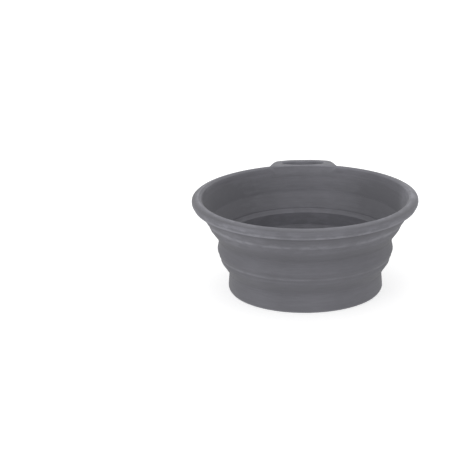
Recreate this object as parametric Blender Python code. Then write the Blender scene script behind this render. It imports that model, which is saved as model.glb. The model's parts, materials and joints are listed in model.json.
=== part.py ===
"""A collapsible silicone bowl, 130 mm across its rolled rim, standing open.

The bowl is one moulding that works as five zones.  Three stiff tiers, the base, the middle and the
rim tier, are joined by two thin webs.  Pressing the rim down turns the webs inside out, and each
tier drops round the outside of the one below it.  A slotted tab for a carabiner sticks out of the
rim.  The stiff tiers are split again into the rings that a person would name: the floor, the
bands, the beads at the folds, the flared wall, the rolled rim and the tab.

Origin: on the bowl's axis, at the surface it stands on.  +Z is up, and the tab points to +Y.
"""

import math

import bmesh
import bpy

MM = 0.001  # every dimension below is in millimetres

# ---- driving dimensions: radii from the bowl's axis, heights from the table ----

SEGMENTS = 72  # flats round each turned piece
GAP = 0.3  # the room left between two zones that the moulding joins
WELD = 0.01  # points closer than this are one point

FLOOR_THICKNESS = 2.5
BASE_WALL = 2.2
MIDDLE_WALL = 2.5
UPPER_WALL = 2.6  # measured level, across the flared wall
WEB_THICKNESS = 1.4  # measured level, across the sloping web

BASE_RADIUS = 44.5
FOOT_ROUND = 1.6  # the rounded edge that the base stands on

LOWER_NOTCH = (44.3, 11.1)  # where the lower web meets the base band
LOWER_RIDGE = (49.8, 21.5)  # where the lower web meets the middle tier
UPPER_NOTCH = (50.3, 31.6)  # where the upper web meets the middle tier
UPPER_RIDGE = (57.3, 42.9)  # where the upper web meets the rim tier
UNDERCUT = (60.9, 49.3)  # where the flared wall meets the rim's underside

FOLD_ROUND = 1.2  # radius of the thickened corner at each ridge
WEB_BOW = 0.5  # how far a web bulges from a straight cone
MIDDLE_BOW = 0.3  # how far the middle band bulges
WALL_BOW = 0.15  # how far the flared wall bulges

RIM_RADIUS = 65.0
RIM_WIDEST = 53.0  # the height at which the rim reaches that radius
RIM_UPPER_ROUND = 1.9
RIM_LOWER_ROUND = 3.2
CREST = (61.2, 55.2)  # centre of the small round along the rim's highest, inner edge
CREST_ROUND = 0.6

TAB_TOP = 55.0
TAB_BOTTOM = 50.0
TAB_REACH = 74.4  # from the bowl's axis to the tab's outer edge
TAB_HALF_WIDTH = 18.4
TAB_ROOT_HALF_WIDTH = 19.6
TAB_CORNER = 6.5
TAB_SHOULDER = 0.8  # how far the rounded corners lie behind the middle of the outer edge
TAB_EDGE_ROUND = 0.8
SLOT_HALF_WIDTH = 12.0
SLOT_HALF_DEPTH = 3.5
SLOT_CENTRE = 68.1
SLOT_MOUTH = 9.0  # half the width over which the rim itself is the slot's near side

SILICONE_GREY = (0.155, 0.152, 0.168)
SILICONE_ROUGHNESS = 0.62


# ---- helpers ----


def clear_scene():
    for obj in list(bpy.data.objects):
        bpy.data.objects.remove(obj, do_unlink=True)


def silicone(name):
    """Matte moulded silicone, dark grey all through."""
    material = bpy.data.materials.new(name)
    material.use_nodes = True
    shader = material.node_tree.nodes["Principled BSDF"]
    shader.inputs["Base Color"].default_value = (*SILICONE_GREY, 1.0)
    shader.inputs["Roughness"].default_value = SILICONE_ROUGHNESS
    shader.inputs["Metallic"].default_value = 0.0
    return material


def tier(name, height):
    """An empty on the bowl's axis that carries one tier; the tiers slide along that axis."""
    empty = bpy.data.objects.new(name, None)
    empty.location.z = height * MM
    bpy.context.collection.objects.link(empty)
    return empty


def solid(name, bm):
    """Turn a closed bmesh into a named object."""
    bmesh.ops.recalc_face_normals(bm, faces=bm.faces)
    mesh = bpy.data.meshes.new(name)
    bm.to_mesh(mesh)
    bm.free()
    obj = bpy.data.objects.new(name, mesh)
    bpy.context.collection.objects.link(obj)
    return obj


def zone(name, bm, carrier):
    """A named zone of the bowl, built in bowl coordinates and carried by its tier's empty."""
    bmesh.ops.translate(bm, verts=bm.verts, vec=-carrier.location)
    obj = solid(name, bm)
    obj.data.shade_smooth()
    obj.data.set_sharp_from_angle(angle=math.radians(35))
    obj.data.materials.append(silicone(name + "_silicone"))
    obj.parent = carrier
    return obj


def arc(centre, radius, start, end, steps):
    """Points of a circular arc; angles in degrees, 0 towards the first axis and 90 the second."""
    angles = (math.radians(start + (end - start) * i / steps) for i in range(steps + 1))
    return [(centre[0] + radius * math.cos(a), centre[1] + radius * math.sin(a)) for a in angles]


def bowed(low, high, bow, steps):
    """Points of a section from low to high that bulge outwards from a straight line by bow."""
    points = []
    for i in range(steps + 1):
        t = i / steps
        radius = low[0] + (high[0] - low[0]) * t + bow * 4 * t * (1 - t)
        points.append((radius, low[1] + (high[1] - low[1]) * t))
    return points


def shell(outer, thickness):
    """Close an outer line into a wall of one level thickness."""
    return outer + [(radius - thickness, height) for radius, height in reversed(outer)]


def turned(name, section, carrier):
    """Turn a section, a list of (radius, height) points, once round the bowl's axis.

    A section that starts and ends on the axis makes a disc.  Any other is closed into a ring.
    """
    bm = bmesh.new()
    corners = [bm.verts.new((radius * MM, 0, height * MM)) for radius, height in section]
    pairs = list(zip(corners, corners[1:]))
    if section[0][0] > 0:
        pairs.append((corners[-1], corners[0]))
    bmesh.ops.spin(
        bm,
        geom=[bm.edges.new(pair) for pair in pairs],
        axis=(0, 0, 1),
        cent=(0, 0, 0),
        angle=2 * math.pi,
        steps=SEGMENTS,
    )
    bmesh.ops.remove_doubles(bm, verts=bm.verts, dist=WELD * MM)
    return zone(name, bm, carrier)


def prism(outline, bottom, top):
    """A bmesh of an outline in plan, extruded upright from bottom to top."""
    bm = bmesh.new()
    low, high = (
        [bm.verts.new((x * MM, y * MM, height * MM)) for x, y in outline] for height in (bottom, top)
    )
    bm.faces.new(reversed(low))
    bm.faces.new(high)
    for i, corner in enumerate(low):
        j = (i + 1) % len(low)
        bm.faces.new((corner, low[j], high[j], high[i]))
    return bm


# ---- base tier: the floor and the upright band round it ----


def base_floor(carrier):
    edge = BASE_RADIUS - BASE_WALL - GAP
    section = [(0, FLOOR_THICKNESS), (edge, FLOOR_THICKNESS), (edge, 0), (0, 0)]
    turned("base_floor", section, carrier)


def base_band(carrier):
    inner = BASE_RADIUS - BASE_WALL
    top = LOWER_NOTCH[1] - GAP
    section = arc((BASE_RADIUS - FOOT_ROUND, FOOT_ROUND), FOOT_ROUND, -90, 0, 3)
    section += [(LOWER_NOTCH[0], top), (inner, top), (inner, 0)]
    turned("base_band", section, carrier)


# ---- fold zones: a thin web that turns inside out, and the thick corner it folds about ----


def fold_web(name, notch, ridge, carrier):
    top = ridge[1] - FOLD_ROUND - GAP
    slope = (ridge[0] - notch[0]) / (ridge[1] - notch[1])
    high = (notch[0] + slope * (top - notch[1]), top)
    turned(name, shell(bowed(notch, high, WEB_BOW, 4), WEB_THICKNESS), carrier)


def fold_bead(name, ridge, wall, carrier):
    radius, height = ridge
    back = radius - wall
    section = arc((radius - FOLD_ROUND, height), FOLD_ROUND, -90, 90, 4)
    section += [(back, height + FOLD_ROUND), (back, height - FOLD_ROUND)]
    turned(name, section, carrier)


# ---- middle tier ----


def middle_band(carrier):
    low = (LOWER_RIDGE[0], LOWER_RIDGE[1] + FOLD_ROUND + GAP)
    high = (UPPER_NOTCH[0], UPPER_NOTCH[1] - GAP)
    inner = LOWER_RIDGE[0] - MIDDLE_WALL
    section = bowed(low, high, MIDDLE_BOW, 3) + [(inner, high[1]), (inner, low[1])]
    turned("middle_band", section, carrier)


# ---- rim tier: the flared wall, the rolled rim and the hang tab ----


def upper_wall(carrier):
    low = (UPPER_RIDGE[0], UPPER_RIDGE[1] + FOLD_ROUND + GAP)
    turned("upper_wall", shell(bowed(low, UNDERCUT, WALL_BOW, 2), UPPER_WALL), carrier)


def rim_bead(carrier):
    bottom = UNDERCUT[1] + GAP
    lower_round = (RIM_RADIUS - RIM_LOWER_ROUND, RIM_WIDEST)
    upper_round = (RIM_RADIUS - RIM_UPPER_ROUND, RIM_WIDEST)
    section = [(UNDERCUT[0] - UPPER_WALL, bottom), (UNDERCUT[0], bottom)]
    section += arc(lower_round, RIM_LOWER_ROUND, -75, 0, 3)
    section += arc(upper_round, RIM_UPPER_ROUND, 20, 60, 2)
    section += arc(CREST, CREST_ROUND, 70, 160, 2)
    turned("rim_bead", section, carrier)


def tab_outline():
    """The tab from above: a rounded outer end, and a root that follows the rim."""
    corner = (TAB_HALF_WIDTH - TAB_CORNER, TAB_REACH - TAB_SHOULDER - TAB_CORNER)
    right = arc(corner, TAB_CORNER, 0, 78, 5)
    left = [(-x, y) for x, y in reversed(right)]
    root_radius = RIM_RADIUS + GAP
    spread = math.degrees(math.asin(TAB_ROOT_HALF_WIDTH / root_radius))
    root = arc((0, 0), root_radius, 90 + spread, 90 - spread, 14)
    return right + [(0, TAB_REACH)] + left + root


def slot_outline():
    """An oval, opened on the side of the rim so that the loop's two arms end square."""
    mouth = math.degrees(math.acos(SLOT_MOUTH / SLOT_HALF_WIDTH))
    oval = arc((0, 0), 1, -mouth, 180 + mouth, 28)
    oval = [(SLOT_HALF_WIDTH * x, SLOT_CENTRE + SLOT_HALF_DEPTH * y) for x, y in oval]
    inside_rim = RIM_RADIUS - RIM_UPPER_ROUND
    return oval + [(-SLOT_MOUTH, inside_rim), (SLOT_MOUTH, inside_rim)]


def hang_tab(carrier):
    """A flat loop that stands out of the rim; the rim closes the near side of its slot."""
    tab = zone("hang_tab", prism(tab_outline(), TAB_BOTTOM, TAB_TOP), carrier)
    clearance = TAB_TOP - TAB_BOTTOM
    cutter = solid(
        "slot_cutter", prism(slot_outline(), TAB_BOTTOM - clearance, TAB_TOP + clearance)
    )
    cutter.display_type = "WIRE"
    cutter.hide_render = True
    slot = tab.modifiers.new("slot", "BOOLEAN")
    slot.operation = "DIFFERENCE"
    slot.solver = "EXACT"
    slot.object = cutter
    edges = tab.modifiers.new("rounded_edges", "BEVEL")
    edges.width = TAB_EDGE_ROUND * MM
    edges.segments = 2
    edges.limit_method = "ANGLE"
    edges.angle_limit = math.radians(60)


# ---- the bowl ----

clear_scene()

base_tier = tier("base_tier", 0)
middle_tier = tier("middle_tier", LOWER_RIDGE[1])
rim_tier = tier("rim_tier", UPPER_RIDGE[1])

base_floor(base_tier)
base_band(base_tier)
fold_web("lower_fold_web", LOWER_NOTCH, LOWER_RIDGE, base_tier)

fold_bead("lower_fold_bead", LOWER_RIDGE, MIDDLE_WALL, middle_tier)
middle_band(middle_tier)
fold_web("upper_fold_web", UPPER_NOTCH, UPPER_RIDGE, middle_tier)

fold_bead("upper_fold_bead", UPPER_RIDGE, UPPER_WALL, rim_tier)
upper_wall(rim_tier)
rim_bead(rim_tier)
hang_tab(rim_tier)
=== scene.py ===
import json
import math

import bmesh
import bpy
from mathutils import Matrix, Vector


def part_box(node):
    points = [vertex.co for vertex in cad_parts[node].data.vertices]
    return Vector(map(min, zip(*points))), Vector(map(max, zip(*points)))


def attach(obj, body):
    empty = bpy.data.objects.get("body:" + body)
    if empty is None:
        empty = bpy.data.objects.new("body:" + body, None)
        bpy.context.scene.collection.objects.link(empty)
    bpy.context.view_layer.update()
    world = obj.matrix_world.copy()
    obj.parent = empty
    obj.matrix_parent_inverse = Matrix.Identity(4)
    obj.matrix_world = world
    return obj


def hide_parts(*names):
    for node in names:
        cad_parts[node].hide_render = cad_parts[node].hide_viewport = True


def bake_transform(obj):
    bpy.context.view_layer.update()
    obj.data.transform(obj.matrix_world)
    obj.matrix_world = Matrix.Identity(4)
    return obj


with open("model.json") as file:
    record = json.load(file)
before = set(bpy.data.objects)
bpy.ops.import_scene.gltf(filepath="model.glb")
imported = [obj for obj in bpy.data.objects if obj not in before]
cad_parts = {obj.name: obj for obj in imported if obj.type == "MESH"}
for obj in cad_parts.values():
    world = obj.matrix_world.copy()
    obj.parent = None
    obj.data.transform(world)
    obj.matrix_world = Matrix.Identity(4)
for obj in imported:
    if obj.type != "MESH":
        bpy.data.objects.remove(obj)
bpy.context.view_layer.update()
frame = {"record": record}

# %% [markdown]
# # A silicone bowl that folds flat
# The real bowl is one moulding of soft grey silicone. Three stiff tiers stand on each other, and two
# thin sloping webs between them turn inside out when the bowl is pressed flat. On the far side of the
# rim is a flat tab with a slot for a carabiner.
#
# Nearly all of it is round, so the lesson is about turning: one outline goes up the outside and down
# the inside, it is cut into nine sections, and Geometry Nodes turns each of them about the axis. The
# tenth piece, the tab, is lofted. The finish is a matte rubber with dusty ridges, and light and shade
# painted onto the ridges, the webs and the rim.

MM = 0.001
scene = bpy.context.scene
slot_facts = frame["record"]["materials"][0]

# %% [markdown]
# ## The main sizes
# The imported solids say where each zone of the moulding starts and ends, and how wide it is. The fine
# outlines below are drawn from those sizes, so they can't drift away from the parts that collide.

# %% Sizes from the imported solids, in millimetres


def radius_of(node):
    """The widest radius of a round solid."""
    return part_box(node)[1].x / MM


def top_of(node):
    """The highest level of a solid."""
    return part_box(node)[1].z / MM


def foot_of(node):
    """The lowest level of a solid."""
    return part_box(node)[0].z / MM


FLOOR_TOP = top_of("base_floor")
BASE_RADIUS = radius_of("base_band")
LOWER_NOTCH = foot_of("lower_fold_web")
LOWER_RIDGE_RADIUS = radius_of("lower_fold_bead")
MIDDLE_RADIUS = radius_of("middle_band")
UPPER_NOTCH = foot_of("upper_fold_web")
UPPER_RIDGE_RADIUS = radius_of("upper_fold_bead")
UNDERCUT = foot_of("rim_bead")
RIM_RADIUS = radius_of("rim_bead")
RIM_TOP = top_of("rim_bead")
TAB_TOP = top_of("hang_tab")
TAB_BOTTOM = foot_of("hang_tab")
TAB_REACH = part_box("hang_tab")[1].y / MM
print("rim", round(RIM_RADIUS, 2), "base", round(BASE_RADIUS, 2), "height", round(RIM_TOP, 2))

# %% [markdown]
# ## Outlines with rounded corners
# A moulder's drawing gives the corners of an outline and a radius at each. The helper here does the
# same: it cuts each corner off with an arc that touches both sides. That keeps the numbers few, and
# every corner stays easy to move. A spline through many points would need far more of them.

# %% An outline from corners and radii
ARC_STEP = 0.3                  # length of a facet on an arc, in millimetres
MOST_TURN = math.radians(12)    # the most that one facet may turn from the last
STRAIGHT = 1e-4                 # a corner that turns by less than this, in radians, is left as it is


def fillet(before, corner, after, radius):
    """The points of an arc that rounds one corner."""
    corner = Vector(corner)
    back = Vector(before) - corner
    ahead = Vector(after) - corner
    turn = math.pi - back.angle(ahead)
    if turn < STRAIGHT:
        return [corner]
    trim = min(radius * math.tan(turn / 2), 0.49 * min(back.length, ahead.length))
    radius = trim / math.tan(turn / 2)
    first = corner + back.normalized() * trim
    last = corner + ahead.normalized() * trim
    inwards = (back.normalized() + ahead.normalized()).normalized()
    middle = corner + inwards * math.hypot(trim, radius)
    steps = max(2, math.ceil(radius * turn / ARC_STEP), math.ceil(turn / MOST_TURN))
    start = first - middle
    sign = 1 if start.cross(last - middle) > 0 else -1
    return [middle + Matrix.Rotation(sign * turn * i / steps, 2) @ start for i in range(steps + 1)]


def rounded(corners):
    """An open outline through (across, up, radius) corners, with each inner corner rounded."""
    points = [Vector(corners[0][:2])]
    for before, here, after in zip(corners, corners[1:], corners[2:]):
        points += fillet(before[:2], here[:2], after[:2], here[2])
    return points + [Vector(corners[-1][:2])]


print("a square corner rounded by 1 mm takes", len(fillet((5, 0), (0, 0), (0, 5), 1.0)), "points")

# %% The outside and the inside of the bowl
outline = rounded([                                   # from the axis, up, and the corner's radius
    (0.0, 0.0, 0),
    (BASE_RADIUS - 1.0, 0.0, 0.6),                    # the foot, two rounds with a small slope between
    (BASE_RADIUS + 0.15, 1.5, 2.6),
    (BASE_RADIUS - 0.42, LOWER_NOTCH - 1.9, 9.0),     # the band draws in a little
    (BASE_RADIUS - 0.05, LOWER_NOTCH + 0.8, 1.3),
    (BASE_RADIUS + 4.25, LOWER_NOTCH + 7.1, 1.6),     # shoulder at the top of the lower web
    (LOWER_RIDGE_RADIUS - 0.6, LOWER_NOTCH + 9.4, 0.8),
    (LOWER_RIDGE_RADIUS + 0.02, LOWER_NOTCH + 10.5, 0.4),
    (LOWER_RIDGE_RADIUS + 0.22, LOWER_NOTCH + 11.5, 0.8),
    (MIDDLE_RADIUS + 0.35, LOWER_NOTCH + 13.4, 2.4),
    (MIDDLE_RADIUS - 0.55, UPPER_NOTCH - 2.4, 7.0),   # waist of the middle band
    (MIDDLE_RADIUS + 0.4, UPPER_NOTCH + 1.2, 1.6),
    (MIDDLE_RADIUS + 4.45, UPPER_NOTCH + 6.7, 1.5),   # shoulder at the top of the upper web
    (UPPER_RIDGE_RADIUS - 1.2, UPPER_NOTCH + 9.6, 0.8),
    (UPPER_RIDGE_RADIUS - 0.05, UPPER_NOTCH + 11.4, 0.5),
    (UPPER_RIDGE_RADIUS + 0.75, UPPER_NOTCH + 12.6, 1.5),
    (RIM_RADIUS - 4.1, UNDERCUT - 0.55, 0.12),        # undercut where the wall meets the rim
    (RIM_RADIUS - 1.15, UNDERCUT + 0.65, 0.3),        # the rim's lower edge
    (RIM_RADIUS + 0.10, UNDERCUT + 3.0, 2.4),
    (RIM_RADIUS - 0.05, UNDERCUT + 5.1, 1.3),
    (RIM_RADIUS - 3.85, RIM_TOP + 0.22, 0.5),         # crest
    (RIM_RADIUS - 5.55, RIM_TOP - 0.65, 1.1),         # inner lip, which drops nearly straight
    (RIM_RADIUS - 6.1, RIM_TOP - 3.5, 1.6),
    (UPPER_RIDGE_RADIUS - 2.4, UPPER_NOTCH + 9.4, 1.2),
    (MIDDLE_RADIUS - 0.65, UPPER_NOTCH + 1.20, 0.2),  # a small step, then a sloped shelf
    (MIDDLE_RADIUS - 0.80, UPPER_NOTCH + 0.50, 0.2),
    (MIDDLE_RADIUS - 2.7, UPPER_NOTCH - 1.7, 0.25),
    (LOWER_RIDGE_RADIUS - 2.3, LOWER_NOTCH + 11.4, 1.0),
    (BASE_RADIUS - 2.15, LOWER_NOTCH - 0.6, 1.2),
    (BASE_RADIUS - 2.2, FLOOR_TOP, 2.0),              # cove round the floor
    (0.0, FLOOR_TOP, 0),
])
crest = max(range(len(outline)), key=lambda i: outline[i].y)
outside = outline[:crest + 1]
inside = outline[crest:][::-1]
print("outline:", len(outside), "points outside,", len(inside), "inside")

# %% [markdown]
# ## Cutting the outline into working zones
# The real moulding isn't cut anywhere, but its zones move by themselves when it folds, so each is a
# piece of its own. The cuts are level and lie in creases or on plain wall. Stiff neighbours share the
# same points on a cut, and each keeps one more point a twentieth of a millimetre away, so that the
# shading runs over the cut as if it weren't there. A web stops a hair short of both its neighbours,
# or faces that touch would flicker when it is folded.

# %% The wall between two levels
NEAR_CUT = 0.05     # how far the point beside a cut is from it, in millimetres


def at_level(side, level):
    """The point of one side of the outline at a level."""
    for low, high in zip(side, side[1:]):
        if low.y <= level <= high.y and high.y > low.y:
            return low.lerp(high, (level - low.y) / (high.y - low.y))
    raise ValueError("no wall at that level")


def wall_between(side, low, high):
    """One side of the outline from one level up to another."""
    feet = [at_level(side, low), at_level(side, low + NEAR_CUT)]
    tops = [at_level(side, high - NEAR_CUT), at_level(side, high)]
    clear = 1.5 * NEAR_CUT      # leaves out points that nearly meet those two
    return feet + [p for p in side if low + clear < p.y < high - clear] + tops


def ring_section(low, high):
    """The closed section of one ring, up the outside and down the inside."""
    return wall_between(outside, low, high) + wall_between(inside, low, high)[::-1]


def cut_between(lower, upper):
    """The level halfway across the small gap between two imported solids."""
    return (top_of(lower) + foot_of(upper)) / 2


print("the wall at half height is",
      round(at_level(outside, RIM_TOP / 2).x - at_level(inside, RIM_TOP / 2).x, 2), "mm thick")

# %% The six rings between base and rim
ROUND_PIECES = ["base_band", "lower_fold_web", "lower_fold_bead", "middle_band", "upper_fold_web",
                "upper_fold_bead", "upper_wall", "rim_bead"]
cuts = [cut_between(a, b) for a, b in zip(ROUND_PIECES, ROUND_PIECES[1:])]
WEB_GAP = 0.02      # how far a web stops short of its neighbours, in millimetres
sections = {}
for name, low, high in zip(ROUND_PIECES[1:-1], cuts, cuts[1:]):
    gap = WEB_GAP if name.endswith("web") else 0.0
    sections[name] = ring_section(low + gap, high - gap)
print("cuts at", [round(c, 2) for c in cuts], "mm")

# %% The rim, the base band and the floor
# The rim's section goes over the crest, and the base band's goes round the foot and into the cove.
rim_out = [at_level(outside, cuts[-1])] + [p for p in outside if p.y > cuts[-1] + NEAR_CUT / 2]
rim_in = [at_level(inside, cuts[-1])] + [p for p in inside[:-1] if p.y > cuts[-1] + NEAR_CUT / 2]
sections["rim_bead"] = rim_out + rim_in[::-1]

FLOOR_EDGE = BASE_RADIUS - 4.4      # where the floor ends, just inside the cove
foot = [Vector((FLOOR_EDGE, 0.0)), Vector((FLOOR_EDGE + NEAR_CUT, 0.0))]
cove = [Vector((FLOOR_EDGE, FLOOR_TOP)), Vector((FLOOR_EDGE + NEAR_CUT, FLOOR_TOP))]
band_out = [p for p in outside if p.x > FLOOR_EDGE + NEAR_CUT and p.y < cuts[0] - NEAR_CUT / 2]
band_in = [p for p in inside if p.x > FLOOR_EDGE + NEAR_CUT and p.y < cuts[0] - NEAR_CUT / 2]
band_top = [at_level(outside, cuts[0]), at_level(inside, cuts[0])]
sections["base_band"] = foot + band_out + band_top + band_in[::-1] + cove[::-1]

FLOOR_RINGS = 9
floor_across = [FLOOR_EDGE * i / FLOOR_RINGS for i in range(FLOOR_RINGS + 1)]
sections["base_floor"] = ([Vector((r, 0.0)) for r in floor_across]
                          + [Vector((r, FLOOR_TOP)) for r in floor_across[::-1]])
print("points in each section:", {name: len(section) for name, section in sections.items()})

# %% [markdown]
# ## Dusty ridges, with painted light and shade
# Soft silicone picks up lint and a pale bloom on the ridges that a hand or the folded bowl rubs. On top
# of
# that, light and shade are painted: highlights on the foot, the shoulders, the ridges, the rim and the
# crest, and shade in the webs, under the rim and down the inside. Each outline point carries a number
# for that, the sum of a few soft bands, and turning spreads it round the bowl. The finish reads it
# later and breaks it up with noise.

# %% How much paler or darker each point is painted, for dust and for light and shade
PAINTED_LIGHT_AND_RUB_OUTSIDE = [                     # level in mm, half width in mm, how strongly (above 0 paler, below 0 painted shade)
    # a painted highlight on the foot's edge
    (0.4, 0.7, 1.1),
    # painted shade on the lower web, painted highlights on its shoulder and, with dust, on its ridge
    (LOWER_NOTCH + 3.2, 2.6, -0.12),
    (LOWER_NOTCH + 8.0, 1.1, 0.12),
    (LOWER_NOTCH + 10.7, 0.5, 0.62),
    # painted shade on the upper web, darkest in a groove under its shoulder
    (UPPER_NOTCH + 2.8, 2.2, -0.22),
    (UPPER_NOTCH + 4.9, 0.6, -0.60),
    # painted highlights on the upper shoulder and below the ridge, and dust with a painted highlight on
    # the ridge
    (UPPER_NOTCH + 7.25, 0.5, 0.55),
    (UPPER_NOTCH + 9.6, 1.4, 0.32),
    (UPPER_NOTCH + 11.7, 0.75, 1.22),
    # painted light on the wall under the rim
    (UPPER_NOTCH + 14.2, 2.2, 0.62),
    # a painted shadow in the undercut, then painted highlights on the rim's lower edge and outer face
    (UNDERCUT - 0.6, 0.5, -0.15),
    (UNDERCUT + 0.7, 0.45, 2.15),
    (UNDERCUT + 2.8, 1.8, 0.62),
    # painted shade on the rim's upper slope, then a thin painted highlight on the crest
    (RIM_TOP - 0.6, 0.5, -0.45),
    (RIM_TOP + 0.1, 0.20, 0.8),
]
RUBBED_UNDERSIDE = 0.15
PAINTED_LIGHT_INSIDE = [
    # painted highlights on the inner crest and the lip below it
    (RIM_TOP, 0.7, 0.28),
    (RIM_TOP - 2.2, 1.6, 0.30),
    # painted shade down the far inner wall and on the shelf
    (UPPER_NOTCH + 12.0, 9.0, -0.34),
    (UPPER_NOTCH + 0.9, 0.5, -0.24),
    (UPPER_NOTCH - 0.6, 0.9, -0.26),
    # painted light deep inside
    (LOWER_NOTCH + 14.5, 6.0, 0.32),
]


def rubbed(point, is_outside):
    """How much paler a point of the outline is painted, for dust and painted highlights; below 0 it is
    painted shade.
    """
    if point.y <= 0:
        return RUBBED_UNDERSIDE
    marks = PAINTED_LIGHT_AND_RUB_OUTSIDE if is_outside else PAINTED_LIGHT_INSIDE
    return sum(k * math.exp(-((point.y - level) / width) ** 2) for level, width, k in marks)


upper_ridge = Vector((UPPER_RIDGE_RADIUS, UPPER_NOTCH + 11.7))
print("the upper ridge is rubbed", round(rubbed(upper_ridge, True), 2))

# %% [markdown]
# ## Turning a section with Geometry Nodes
# A Spin modifier would do, but a node tree also gives the soft moulding its slight waver. The section
# becomes a curve, Curve to Mesh sweeps it along a circle, and Merge by Distance closes the pole of
# the floor. Noise then moves every point sideways by up to a tenth of a millimetre, and never up or
# down, so that the base still stands flat. Neighbours meet because the noise depends on where a point
# is and nothing else.

# %% Helpers for node trees


def new_tree(name, inputs):
    """An empty Geometry Nodes tree with a geometry in and out, and named inputs."""
    tree = bpy.data.node_groups.new(name, "GeometryNodeTree")
    tree.interface.new_socket("Geometry", in_out="INPUT", socket_type="NodeSocketGeometry")
    for title, kind, value in inputs:
        socket = tree.interface.new_socket(title, in_out="INPUT", socket_type="NodeSocket" + kind)
        if value is not None:
            socket.default_value = value
    tree.interface.new_socket("Geometry", in_out="OUTPUT", socket_type="NodeSocketGeometry")
    return tree


def add_node(tree, kind, settings=None, **sockets):
    """A node with its settings made first, then its sockets given values or links."""
    node = tree.nodes.new(kind)
    for key, value in (settings or {}).items():
        setattr(node, key, value)
    for key, value in sockets.items():
        socket = node.inputs[int(key[1:])] if key[0] == "i" and key[1:].isdigit() else node.inputs[key]
        if isinstance(value, bpy.types.NodeSocket):
            tree.links.new(value, socket)
        else:
            socket.default_value = value
    return node


print("helpers for node trees are ready")

# %% The tree that turns a section
SEGMENTS = 300              # round the bowl
PATH_RADIUS = 30 * MM       # of the circle that a section is swept along
WAVER = 0.11 * MM           # how far the soft wall may wander
WAVER_SCALE = 38.0          # swings in a metre, so one is about 26 mm long
SAME_POINT = 0.001 * MM

turning = new_tree("turn_a_section", [
    ("Path Radius", "Float", PATH_RADIUS), ("Segments", "Int", SEGMENTS), ("Waver", "Float", WAVER),
    ("Waver Scale", "Float", WAVER_SCALE), ("Finish", "Material", None)])
given = turning.nodes.new("NodeGroupInput").outputs
section_line = add_node(turning, "GeometryNodeMeshToCurve", i0=given["Geometry"])
path = add_node(turning, "GeometryNodeCurvePrimitiveCircle", Resolution=given["Segments"],
                Radius=given["Path Radius"])
swept = add_node(turning, "GeometryNodeCurveToMesh", i0=path.outputs["Curve"])
turning.links.new(section_line.outputs[0], swept.inputs["Profile Curve"])
closed = add_node(turning, "GeometryNodeMergeByDistance", Geometry=swept.outputs["Mesh"],
                  Distance=SAME_POINT)
print("turning:", len(turning.nodes), "nodes,", SEGMENTS, "segments")

# %% Its waver and its end
noise = add_node(turning, "ShaderNodeTexNoise", {"noise_dimensions": "3D"}, Scale=given["Waver Scale"],
                 Detail=3.0, Roughness=0.55)
centred = add_node(turning, "ShaderNodeVectorMath", {"operation": "SUBTRACT"},
                   i0=noise.outputs["Color"], i1=(0.5, 0.5, 0.5))
sideways = add_node(turning, "ShaderNodeVectorMath", {"operation": "MULTIPLY"},
                    i0=centred.outputs[0], i1=(2.0, 2.0, 0.0))
waver = add_node(turning, "ShaderNodeVectorMath", {"operation": "SCALE"}, i0=sideways.outputs[0],
                 Scale=given["Waver"])
moved = add_node(turning, "GeometryNodeSetPosition", Geometry=closed.outputs[0],
                 Offset=waver.outputs[0])
real = add_node(turning, "GeometryNodeRealizeInstances", i0=moved.outputs[0])
finished = add_node(turning, "GeometryNodeSetMaterial", Geometry=real.outputs[0],
                    Material=given["Finish"])
turning.links.new(finished.outputs[0], turning.nodes.new("NodeGroupOutput").inputs[0])
print("turning, with its waver:", len(turning.nodes), "nodes")

# %% [markdown]
# ## Shader maths in plain Python
# A finish needs many small sums. This class wraps a socket, so that a sum in Python adds the Math
# nodes by itself. Its node method adds any other node, settings first, then sockets.

# %% A socket that can be added and multiplied


class Wave:
    """A number that changes over the surface, held as a node socket."""

    def __init__(self, tree, socket):
        self.tree = tree
        self.socket = socket

    def node(self, kind, settings=None, out=0, **sockets):
        """Any node, with its settings made first. out is the output that comes back."""
        plain = {k: v.socket if isinstance(v, Wave) else v for k, v in sockets.items()}
        return Wave(self.tree, add_node(self.tree, kind, settings, **plain).outputs[out])

    def maths(self, operation, a, b):
        """A Math node with two inputs."""
        return self.node("ShaderNodeMath", {"operation": operation}, i0=a, i1=b)

    def __add__(self, other):
        return self.maths("ADD", self, other)

    def __sub__(self, other):
        return self.maths("SUBTRACT", self, other)

    def __rsub__(self, other):
        return self.maths("SUBTRACT", other, self)

    def __mul__(self, other):
        return self.maths("MULTIPLY", self, other)

    def step(self, low, high):
        """0 below low, 1 above high, smooth between."""
        return self.node("ShaderNodeMapRange", {"interpolation_type": "SMOOTHSTEP"}, Value=self,
                         i1=low, i2=high)

    __radd__ = __add__


print("sums on sockets are ready")

# %% [markdown]
# ## Matte grey silicone
# Moulded silicone is a soft satin grey: no metal, no sharp gloss, a low index of refraction, and a
# slight pale sheen at grazing angles. Up close it isn't one colour. The pigment is a little cloudy,
# faint level streaks stay from the mould's turned faces, short scuffs follow the rings, lint sits on
# it in specks, and the ridges are dusty, in dashes and not in a clean line. Light and shade are painted
# on as well: paler ridges, rim and crest, darker webs and inside, paler towards the sides and on the
# left. All of it is noise on Object coordinates, so it stays with the piece from every side, without
# a seam.

# %% The bare silicone
COOLER = (0.985, 1.0, 1.012)            # a trace cooler than the slot's flat colour
GREY = tuple(c * k for c, k in zip(slot_facts["base_color"], COOLER))
DARKEST = 0.78                          # the finish runs between these shares of the grey
PALEST = 1.88


def tinted(share):
    """The silicone's grey, lighter or darker by a share."""
    return tuple(c * share for c in GREY) + (1.0,)


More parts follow.
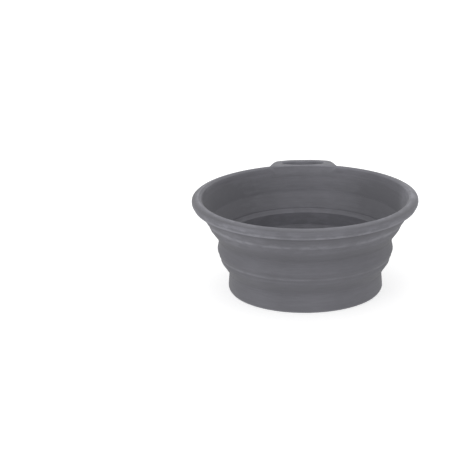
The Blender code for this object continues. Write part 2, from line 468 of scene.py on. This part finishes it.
silicone = bpy.data.materials.new("matte grey silicone")
silicone.use_nodes = True
tree = silicone.node_tree
shader = tree.nodes["Principled BSDF"]
shader.inputs["IOR"].default_value = 1.41
shader.inputs["Specular IOR Level"].default_value = 0.42
shader.inputs["Sheen Weight"].default_value = 0.10
shader.inputs["Sheen Roughness"].default_value = 0.55
print("the grey is", [round(c, 3) for c in GREY])

# %% Noise that stays on the bowl
finish = Wave(tree, None)
place = finish.node("ShaderNodeTexCoord", out=3)
# the outline's painted light and shade, with the dust on its ridges
painted_light_and_rub = finish.node("ShaderNodeAttribute", {"attribute_name": "rubbed"}, out=2)


def clouds(scale, detail, stretch=(1, 1, 1), spot=place):
    """Soft noise from 0 to 1, in a space that may be stretched."""
    stretched = finish.node("ShaderNodeMapping", Vector=spot, Scale=stretch)
    return finish.node("ShaderNodeTexNoise", Vector=stretched, Scale=scale, Detail=detail,
                       Roughness=0.55)


pigment = clouds(42, 5.0)                            # cloudy pigment, 24 mm across
handled = clouds(14, 2.0).step(0.42, 0.68)           # broad areas that hands have dulled
streaks = clouds(60, 3.0, (0.35, 0.35, 12.0))        # level streaks from the turned mould
dashes = clouds(130, 4.0, (1, 1, 2.5)).step(0.40, 0.60)
lint = clouds(1500, 1.0).step(0.69, 0.80)            # specks under a millimetre
print("five kinds of noise:", len(tree.nodes), "nodes")

# %% Scuffs that follow the rings
SLANT = 0.8         # mixes the distance from the axis into the level, so that flat faces get scuffs too


def part_of(vector, axis):
    """One of a vector's three numbers, x, y or z."""
    return finish.node("ShaderNodeSeparateXYZ", out="xyz".index(axis), Vector=vector)


flattened = finish.node("ShaderNodeVectorMath", {"operation": "MULTIPLY"}, i0=place, i1=(1, 1, 0))
reach = finish.node("ShaderNodeVectorMath", {"operation": "LENGTH"}, out=1, i0=flattened)
round_and_up = finish.node("ShaderNodeCombineXYZ", X=part_of(place, "x"), Y=part_of(place, "y"),
                           Z=reach * SLANT + part_of(place, "z"))
scuffs = clouds(120, 3.0, (1, 1, 9.0), spot=round_and_up)
print("with scuffs:", len(tree.nodes), "nodes")

# %% Smudges, paler patches, and painted light on the rim and at the sides
SMUDGES_AND_PAINTED_LIGHT = [                         # middle and radius in millimetres, strength
    ((4, 56, 44), 44, 0.34),        # inside, on the far wall
    ((14, 58, 49), 17, 0.12),
    ((64, 4, 54), 21, 1.15),        # the rim's right end
    ((-24, -53, 47), 4.5, 0.20),    # a spot under the rim at the front
    ((-40, -49, 53), 22, 0.30),     # the rim at the front left: painted light from the lamp's side
]
PATCH_CORE = 0.25                  # share of a patch's radius that is at full strength


def soft_patch(centre, radius):
    """A soft round patch, 1 in its middle."""
    distance = finish.node("ShaderNodeVectorMath", {"operation": "DISTANCE"}, out=1, i0=place,
                           i1=tuple(c * MM for c in centre))
    return 1 - distance.step(PATCH_CORE * radius * MM, radius * MM)


smudges_and_painted_light = sum(soft_patch(centre, radius) * strength for centre, radius, strength in SMUDGES_AND_PAINTED_LIGHT)
side = part_of(place, "x") * (1 / (RIM_RADIUS * MM))        # -1 at the left and 1 at the right
painted_side_light = (side * side).step(0.10, 0.50) * 0.80 - side * 0.17 + 0.95   # painted light and shade, stronger towards the sides and on the left, where the lamp is
print(len(SMUDGES_AND_PAINTED_LIGHT), "smudges:", len(tree.nodes), "nodes")

# %% Colour and roughness
CLOUDY = 0.26           # how far each pattern shifts the tone; 0 is the darkest and 1 the palest
STREAKED = 0.14
DULLED = 0.04
SCUFFED = 0.25
LINTY = 0.14
# painted shade: the tone a little darker towards the sides
PAINTED_SIDE_SHADE = -0.07
# how strongly the painted light and shade and the dust show
RUB_AND_PAINTED_LIGHT = 0.40
PLAIN_TONE = 0.267      # the tone of a plain wall, with no marks and no painted light
PLAIN_ROUGHNESS = 0.60

# dust, smudges and the painted light and shade break up into dashes
rub_and_painted_light_tone = painted_light_and_rub * painted_side_light * (dashes * 0.7 + 0.62) + smudges_and_painted_light * (dashes * 0.8 + 0.5)
shift = ((pigment - 0.5) * CLOUDY + (streaks - 0.5) * STREAKED + (handled - 0.5) * DULLED
         + (scuffs - 0.5) * SCUFFED + lint * LINTY + painted_side_light * PAINTED_SIDE_SHADE)
tone = finish.node("ShaderNodeClamp", Value=shift + rub_and_painted_light_tone * RUB_AND_PAINTED_LIGHT + PLAIN_TONE)
colour = finish.node("ShaderNodeMix", {"data_type": "RGBA"}, out=2, i0=tone, i6=tinted(DARKEST),
                     i7=tinted(PALEST))
tree.links.new(colour.socket, shader.inputs["Base Color"])
dull = (pigment - 0.5) * 0.16 + rub_and_painted_light_tone * 0.12 + PLAIN_ROUGHNESS
tree.links.new(dull.socket, shader.inputs["Roughness"])
print("with its colour:", len(tree.nodes), "nodes")

# %% Relief
RELIEF_DEPTH = 0.12 * MM
grain = clouds(2600, 2.0)                            # the mould's blasted face, 0.4 mm
ripple = clouds(210, 2.0, (1, 1, 2.0))               # slow unevenness, 5 mm
relief = grain * 0.25 + ripple * 1.0 + streaks * 0.8
bump = finish.node("ShaderNodeBump", Height=relief, Strength=0.35, Distance=RELIEF_DEPTH)
tree.links.new(bump.socket, shader.inputs["Normal"])
print("silicone:", len(tree.nodes), "nodes")

# %% [markdown]
# ## Turning the nine sections
# Each section becomes a small mesh of edges, placed so that the sweep along the path's circle puts it
# at its true radius. The tree's input is set by the socket's identifier before the first look at the
# result, the result is kept as a plain mesh, and the modifier is taken off. Normals are made to point
# out, and edges sharper than 35 degrees stay sharp, which keeps each cut from shading its neighbour.

# %% Clean faces
SHARP = math.radians(35)


def tree_inputs(tree):
    """Socket identifiers of a tree's inputs, by name."""
    return {item.name: item.identifier for item in tree.interface.items_tree
            if item.in_out == "INPUT"}


def finish_mesh(piece):
    """Smooth shading with sharp cuts, and faces that point out."""
    work = bmesh.new()
    work.from_mesh(piece.data)
    bmesh.ops.recalc_face_normals(work, faces=work.faces)
    work.to_mesh(piece.data)
    work.free()
    piece.data.shade_smooth()
    piece.data.set_sharp_from_angle(angle=SHARP)


print("edges sharper than", round(math.degrees(SHARP)), "degrees stay sharp")

# %% From a section to a piece
pieces = {}


def section_mesh(name, section):
    """A closed line through a section's points, each with its painted light and rub."""
    mesh = bpy.data.meshes.new(name)
    mesh.from_pydata([(p.x * MM - PATH_RADIUS, -p.y * MM, 0) for p in section],
                     [(i, (i + 1) % len(section)) for i in range(len(section))], [])
    marks = mesh.attributes.new("rubbed", "FLOAT", "POINT")
    highest = max(range(len(section)), key=lambda i: section[i].y)     # the outside ends here
    marks.data.foreach_set("value", [rubbed(p, i <= highest) for i, p in enumerate(section)])
    return mesh


def turn_piece(name, section):
    """A ring, or a disc if the section starts on the axis, turned from a closed section."""
    mesh = section_mesh(name, section)
    piece = bpy.data.objects.new(name, mesh)
    scene.collection.objects.link(piece)
    turner = piece.modifiers.new("turn", "NODES")
    turner.node_group = turning
    turner[tree_inputs(turning)["Finish"]] = silicone
    turned = piece.evaluated_get(bpy.context.evaluated_depsgraph_get())
    result = bpy.data.meshes.new_from_object(turned)
    piece.modifiers.remove(turner)
    piece.data = result
    result.name = name
    finish_mesh(piece)
    pieces[name] = piece


for name, section in sections.items():
    turn_piece("skin_" + name, section)
heights = [v.co.z / MM for v in pieces["skin_rim_bead"].data.vertices]
print("rim runs from", round(min(heights), 2), "to", round(max(heights), 2), "mm")

# %% [markdown]
# ## The seat of the tab
# The tab's flat top runs over the rim to the crest, so the round crest is planed down there, and it
# rises again on both sides. Towards the bowl the planed seat ends in a steep bevel. A smooth minimum
# does it all: it follows the rim where that is low, and the seat where it isn't. A Boolean would leave
# a sharp edge instead.

# %% Sizes of the seat and the slot
SEAT_LEVEL = TAB_TOP + 0.3
SEAT_HALF_WIDTH = 16.5
SEAT_RISE = 4.0                     # over this width the crest rises again on each side
SEAT_INNER = RIM_RADIUS - 3.7       # the bevel into the bowl is darker
SEAT_BEVEL = 1.7                    # how far the bevel drops for each millimetre inwards
SEAT_SOFTNESS = 0.3                 # rounds the border of the planed patch
BEVEL_DARKENING = -0.45                   # nothing touches the bevel, so it stays clean
BEVEL_FADE = 0.4                    # the darker tone comes in over this much of the bevel
SLOT_NEAR = TAB_REACH - 10.8        # the slot's side towards the bowl
SLOT_FAR = TAB_REACH - 4.2
SLOT_HALF_WIDTH = 12.4
SLOT_BOW = 37.0                     # radius of the slot's near side, which bows towards the bowl
SLOT_CLEARANCE = 0.12               # how far the rim stays behind the slot's wall
print("slot", round(2 * SLOT_HALF_WIDTH, 1), "by", round(SLOT_FAR - SLOT_NEAR, 1), "mm")

# %% Planing the rim


def smooth_step(x, low, high):
    """0 at low and 1 at high, smooth between; low may be the larger."""
    t = min(1.0, max(0.0, (x - low) / (high - low)))
    return t * t * (3 - 2 * t)


def smooth_minimum(a, b, softness):
    """The smaller of two numbers, rounded where they are alike."""
    near = max(0.0, softness - abs(a - b)) / softness
    return min(a, b) - near * near * softness / 4


rim = pieces["skin_rim_bead"]
rim_painted_light_and_rub = rim.data.attributes["rubbed"].data
planed = 0
for vertex in rim.data.vertices:
    if vertex.co.y < 0:
        continue
    seat = smooth_step(abs(vertex.co.x) / MM, SEAT_HALF_WIDTH + SEAT_RISE, SEAT_HALF_WIDTH)
    level = vertex.co.z / MM
    inside_seat = max(0.0, SEAT_INNER - math.hypot(vertex.co.x, vertex.co.y) / MM)
    lowered = smooth_minimum(level, SEAT_LEVEL - inside_seat * SEAT_BEVEL, SEAT_SOFTNESS) * MM
    planed += seat > 0 and vertex.co.z - lowered > 0.01 * MM
    rim_painted_light_and_rub[vertex.index].value += seat * BEVEL_DARKENING * smooth_step(inside_seat, 0.0, BEVEL_FADE)
    vertex.co.z += seat * (lowered - vertex.co.z)
    slot_side = SLOT_NEAR - SLOT_CLEARANCE + (vertex.co.x / MM) ** 2 / (2 * SLOT_BOW)
    vertex.co.y = min(vertex.co.y, slot_side * MM)
print("planed", planed, "points of the rim down to", round(SEAT_LEVEL, 2), "mm")

# %% [markdown]
# ## The slotted tab
# The tab is a flat plate with an oval slot, all of its edges rounded. It is a loft: the plate's
# outline and the slot's outline have the same number of points, and rings between them go up the
# slot's wall, over its rounded edge, across the top, down round the outer edge and back underneath. A
# plate cut by a Boolean and then bevelled comes out less even where the outline flares into the rim.
# The border that faces the bowl lies inside the rim, so no joint shows.

# %% Half of each outline
BURIED_RADIUS = RIM_RADIUS - 3.5    # of the border that is buried in the rim's crest
BURIED_POINTS = 14                  # on half of that border
TAB_ROOT = 19.4                     # half width of the tab where it goes into the rim
half_tab = rounded([
    (0.0, TAB_REACH - 0.4, 0),
    (6.9, TAB_REACH - 0.4, 36.0),       # far edge, a gentle bow
    (16.9, TAB_REACH - 3.0, 5.5),
    (19.2, TAB_REACH - 9.4, 4.0),       # the side flares a little where it meets the rim
    (20.4, TAB_REACH - 13.6, 1.5),
    (TAB_ROOT, math.sqrt(BURIED_RADIUS ** 2 - TAB_ROOT ** 2) + 0.2, 0),
])
root_angle = math.atan2(half_tab[-1].x, half_tab[-1].y)
for step in range(1, BURIED_POINTS + 1):
    angle = root_angle * (1 - step / BURIED_POINTS)
    half_tab.append(Vector((math.sin(angle), math.cos(angle))) * BURIED_RADIUS)
half_slot = rounded([
    (0.0, SLOT_FAR, 0),
    (6.4, SLOT_FAR, 30.0),
    (SLOT_HALF_WIDTH, SLOT_FAR - 1.3, 2.4),
    (SLOT_HALF_WIDTH, SLOT_NEAR + 1.9, 2.2),
    (5.6, SLOT_NEAR, SLOT_BOW),
    (0.0, SLOT_NEAR, 0),
])
print("half outlines:", len(half_tab), "points for the tab,", len(half_slot), "for the slot")

# %% Whole outlines with the same number of points
TAB_POINTS = 240


def closed_loop(half, count):
    """A mirrored half outline as evenly spaced points, clockwise from the middle of the far edge."""
    whole = half + [Vector((-p.x, p.y)) for p in half[-2:0:-1]]
    ring = whole + whole[:1]
    along = [0.0]
    for a, b in zip(ring, ring[1:]):
        along.append(along[-1] + (b - a).length)
    points = []
    k = 0
    for i in range(count):
        goal = along[-1] * i / count
        while along[k + 1] < goal:
            k += 1
        points.append(ring[k].lerp(ring[k + 1], (goal - along[k]) / (along[k + 1] - along[k])))
    return points


def grown(loop, distance):
    """A clockwise loop moved out by a distance, square to itself."""
    result = []
    for before, here, after in zip(loop[-1:] + loop[:-1], loop, loop[1:] + loop[:1]):
        tangent = (after - before).normalized()
        result.append(here + Vector((-tangent.y, tangent.x)) * distance)
    return result


tab_edge = closed_loop(half_tab, TAB_POINTS)
slot_edge = closed_loop(half_slot, TAB_POINTS)
print("tab", round(max(p.x for p in tab_edge) * 2, 1), "mm wide at its root, slot",
      round(max(p.x for p in slot_edge) * 2, 1), "mm")

# %% The rings of the loft
TOP_LEVEL = SEAT_LEVEL + 0.015      # a hair above the planed seat, so that the two don't flicker
EDGE_ROUND = 0.85                   # radius of the tab's rounded edges
QUARTER = [math.radians(a) for a in (0, 15, 30, 45, 60, 75, 90)]
rings = []


def round_an_edge(loop, grow, level, rise, to_wall):
    """Rings round one edge, from the flat face to the wall or back; grow and rise are 1 or -1."""
    for angle in QUARTER:
        across = 1 - math.sin(angle)
        height = 1 - math.cos(angle)
        if not to_wall:
            across, height = height, across
        rings.append((grown(loop, grow * EDGE_ROUND * across), level + rise * EDGE_ROUND * height))


round_an_edge(slot_edge, 1, TAB_BOTTOM, 1, True)        # slot, from the underside up to its wall
round_an_edge(slot_edge, 1, TOP_LEVEL, -1, False)       # slot, from its wall to the top
round_an_edge(tab_edge, -1, TOP_LEVEL, -1, True)        # outer edge, from the top to its wall
round_an_edge(tab_edge, -1, TAB_BOTTOM, 1, False)       # outer edge, back to the underside
print("tab loft:", len(rings), "rings of", TAB_POINTS, "points")

# %% The loft
tab_mesh = bpy.data.meshes.new("skin_hang_tab")
corners = [(p.x * MM, p.y * MM, level * MM) for loop, level in rings for p in loop]
faces = []
for ring in range(len(rings)):
    here = ring * TAB_POINTS
    there = (ring + 1) % len(rings) * TAB_POINTS
    for i in range(TAB_POINTS):
        j = (i + 1) % TAB_POINTS
        faces.append((here + i, here + j, there + j, there + i))
tab_mesh.from_pydata(corners, [], faces)
tab_mesh.materials.append(silicone)
tab = bpy.data.objects.new("skin_hang_tab", tab_mesh)
scene.collection.objects.link(tab)
finish_mesh(tab)
pieces["skin_hang_tab"] = tab
print("tab:", len(tab_mesh.polygons), "faces")

# %% How much painted light and rub the tab gets
STEPS = len(QUARTER)
PAINTED_LIGHT_AND_RUB_ON_RING = {
    STEPS - 1: 0.35,        # foot and top of the slot's wall: painted light in the slot
    STEPS: 0.45,
    STEPS + 3: 0.4,         # halfway round the slot's upper edge and the outer one
    2 * STEPS + 3: 0.4,
    2 * STEPS - 1: 0.12,    # the flat top, painted a little paler
    2 * STEPS: 0.12,
}
PAINTED_LIGHT_AND_RUB_ELSEWHERE = 0.2
tab_painted_light_and_rub = tab_mesh.attributes.new("rubbed", "FLOAT", "POINT")
for i, mark in enumerate(tab_painted_light_and_rub.data):
    mark.value = PAINTED_LIGHT_AND_RUB_ON_RING.get(i // TAB_POINTS, PAINTED_LIGHT_AND_RUB_ELSEWHERE)
print("rub on the tab from", min(PAINTED_LIGHT_AND_RUB_ON_RING.values()), "to", max(PAINTED_LIGHT_AND_RUB_ON_RING.values()))

# %% [markdown]
# ## Riding on the tiers
# The stiff zones ride on their tier. A web crosses a joint, so it rides on no tier: it keeps its
# place, with its transform baked in.

# %% Bodies for the stiff zones, and the imported solids hidden
tier_of = {name: body for body, names in frame["record"]["behaviour"]["bodies"].items()
           for name in names}
webs = {"lower_fold_web": ("base_tier", "middle_tier"), "upper_fold_web": ("middle_tier", "rim_tier")}
for skin_name, piece in pieces.items():
    node = skin_name.removeprefix("skin_")
    if node in webs:
        seam = ROUND_PIECES.index(node)
        low, high = cuts[seam - 1], cuts[seam]
        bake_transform(piece)
    else:
        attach(piece, tier_of[node])
    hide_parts(node)
print("zones on their tiers:", len(pieces))

# %% [markdown]
# ## Floor, light and camera
# The bowl stands on a white table that glows a little, as a backlit acrylic table does, so that only a
# trace of its shadow shows. The light is soft and comes from everywhere, as in a white tent, but less
# of it from below, and a broad lamp at the front left makes that side a little paler. The table's own
# glow is kept off the bowl, or the sloping webs would look brighter than the walls.

# %% Pale floor
FLOOR_DROP = 0.02 * MM      # just below the base, so that the two don't flicker
FLOOR_GLOW = 0.50
bpy.ops.mesh.primitive_circle_add(vertices=96, radius=6.0, fill_type="NGON",
                                  location=(0, 0, -FLOOR_DROP))
floor = bpy.context.object
floor.name = "studio_floor"
floor_paint = bpy.data.materials.new("pale studio floor")
floor_paint.use_nodes = True
floor_shader = floor_paint.node_tree.nodes["Principled BSDF"]
floor_shader.inputs["Base Color"].default_value = (0.80, 0.80, 0.80, 1.0)
floor_shader.inputs["Roughness"].default_value = 0.9
floor_shader.inputs["Specular IOR Level"].default_value = 0.0
floor_shader.inputs["Emission Color"].default_value = (1.0, 1.0, 1.0, 1.0)
floor_shader.inputs["Emission Strength"].default_value = FLOOR_GLOW
floor.data.materials.append(floor_paint)
floor.visible_diffuse = False
floor.visible_glossy = False
print("floor laid")

# %% The white tent
ZENITH = 0.90       # how bright the tent is overhead, at eye level and below
HORIZON = 1.00
BELOW = 0.58
world = bpy.data.worlds.new("white tent")
world.use_nodes = True
sky = world.node_tree.nodes["Background"]
sky.inputs["Color"].default_value = (1.0, 1.0, 1.0, 1.0)
tent = Wave(world.node_tree, None)
direction = tent.node("ShaderNodeTexCoord")
height_in_sky = tent.node("ShaderNodeSeparateXYZ", out=2, Vector=direction)
brightness = (height_in_sky.step(-0.30, 0.05) * (HORIZON - BELOW)
              - height_in_sky.step(0.15, 0.90) * (HORIZON - ZENITH) + BELOW)
world.node_tree.links.new(brightness.socket, sky.inputs["Strength"])
scene.world = world
print("tent from", BELOW, "below to", HORIZON, "at eye level")

# %% One soft lamp
RIM_CENTRE = Vector((0, 0, RIM_TOP * MM))
LAMP_PLACE = Vector((-0.95, -0.95, 0.30))

softbox = bpy.data.lights.new("front left softbox", "AREA")
softbox.energy = 3.0
softbox.size = 0.8
lamp = bpy.data.objects.new("front left softbox", softbox)
scene.collection.objects.link(lamp)
lamp.location = LAMP_PLACE
lamp.rotation_euler = (RIM_CENTRE - LAMP_PLACE).to_track_quat("-Z", "Y").to_euler()
scene.view_settings.view_transform = "Standard"
print("lamp", round((RIM_CENTRE - LAMP_PLACE).length, 2), "m from the bowl")

# %% Which way the camera looks
# It looks at the rim's centre first, and then it is panned, tilted and rolled, so that the bowl
# stands to the right of the middle.
ELEVATION = math.radians(17.5)      # above the rim
TURNED = math.radians(0.85)         # round the bowl, to its left
PAN = math.radians(2.284)
TILT = math.radians(-0.837)
ROLL = math.radians(0.326)

away = Vector((-math.cos(ELEVATION) * math.sin(TURNED), -math.cos(ELEVATION) * math.cos(TURNED),
               math.sin(ELEVATION)))
look = -away
right = look.cross(Vector((0, 0, 1))).normalized()
up = right.cross(look)
panned = Matrix.Rotation(PAN, 3, up)
look, right = panned @ look, panned @ right
tilted = Matrix.Rotation(TILT, 3, right)
look, up = tilted @ look, tilted @ up
rolled = Matrix.Rotation(ROLL, 3, look)
right, up = rolled @ right, rolled @ up
print("looking along", [round(c, 3) for c in look])

# %% Camera
DISTANCE = 1.1525       # from the rim's centre, in metres
LENS = 160.4            # a long lens, in millimetres

camera_data = bpy.data.cameras.new("studio camera")
camera_data.lens = LENS
camera_data.sensor_width = 36.0
camera_data.clip_start = 0.01
camera = bpy.data.objects.new("studio camera", camera_data)
scene.collection.objects.link(camera)
axes = Matrix((right, up, -look)).transposed().to_4x4()
camera.matrix_world = Matrix.Translation(RIM_CENTRE + away * DISTANCE) @ axes
scene.camera = camera
print("camera at", [round(c, 3) for c in camera.location])
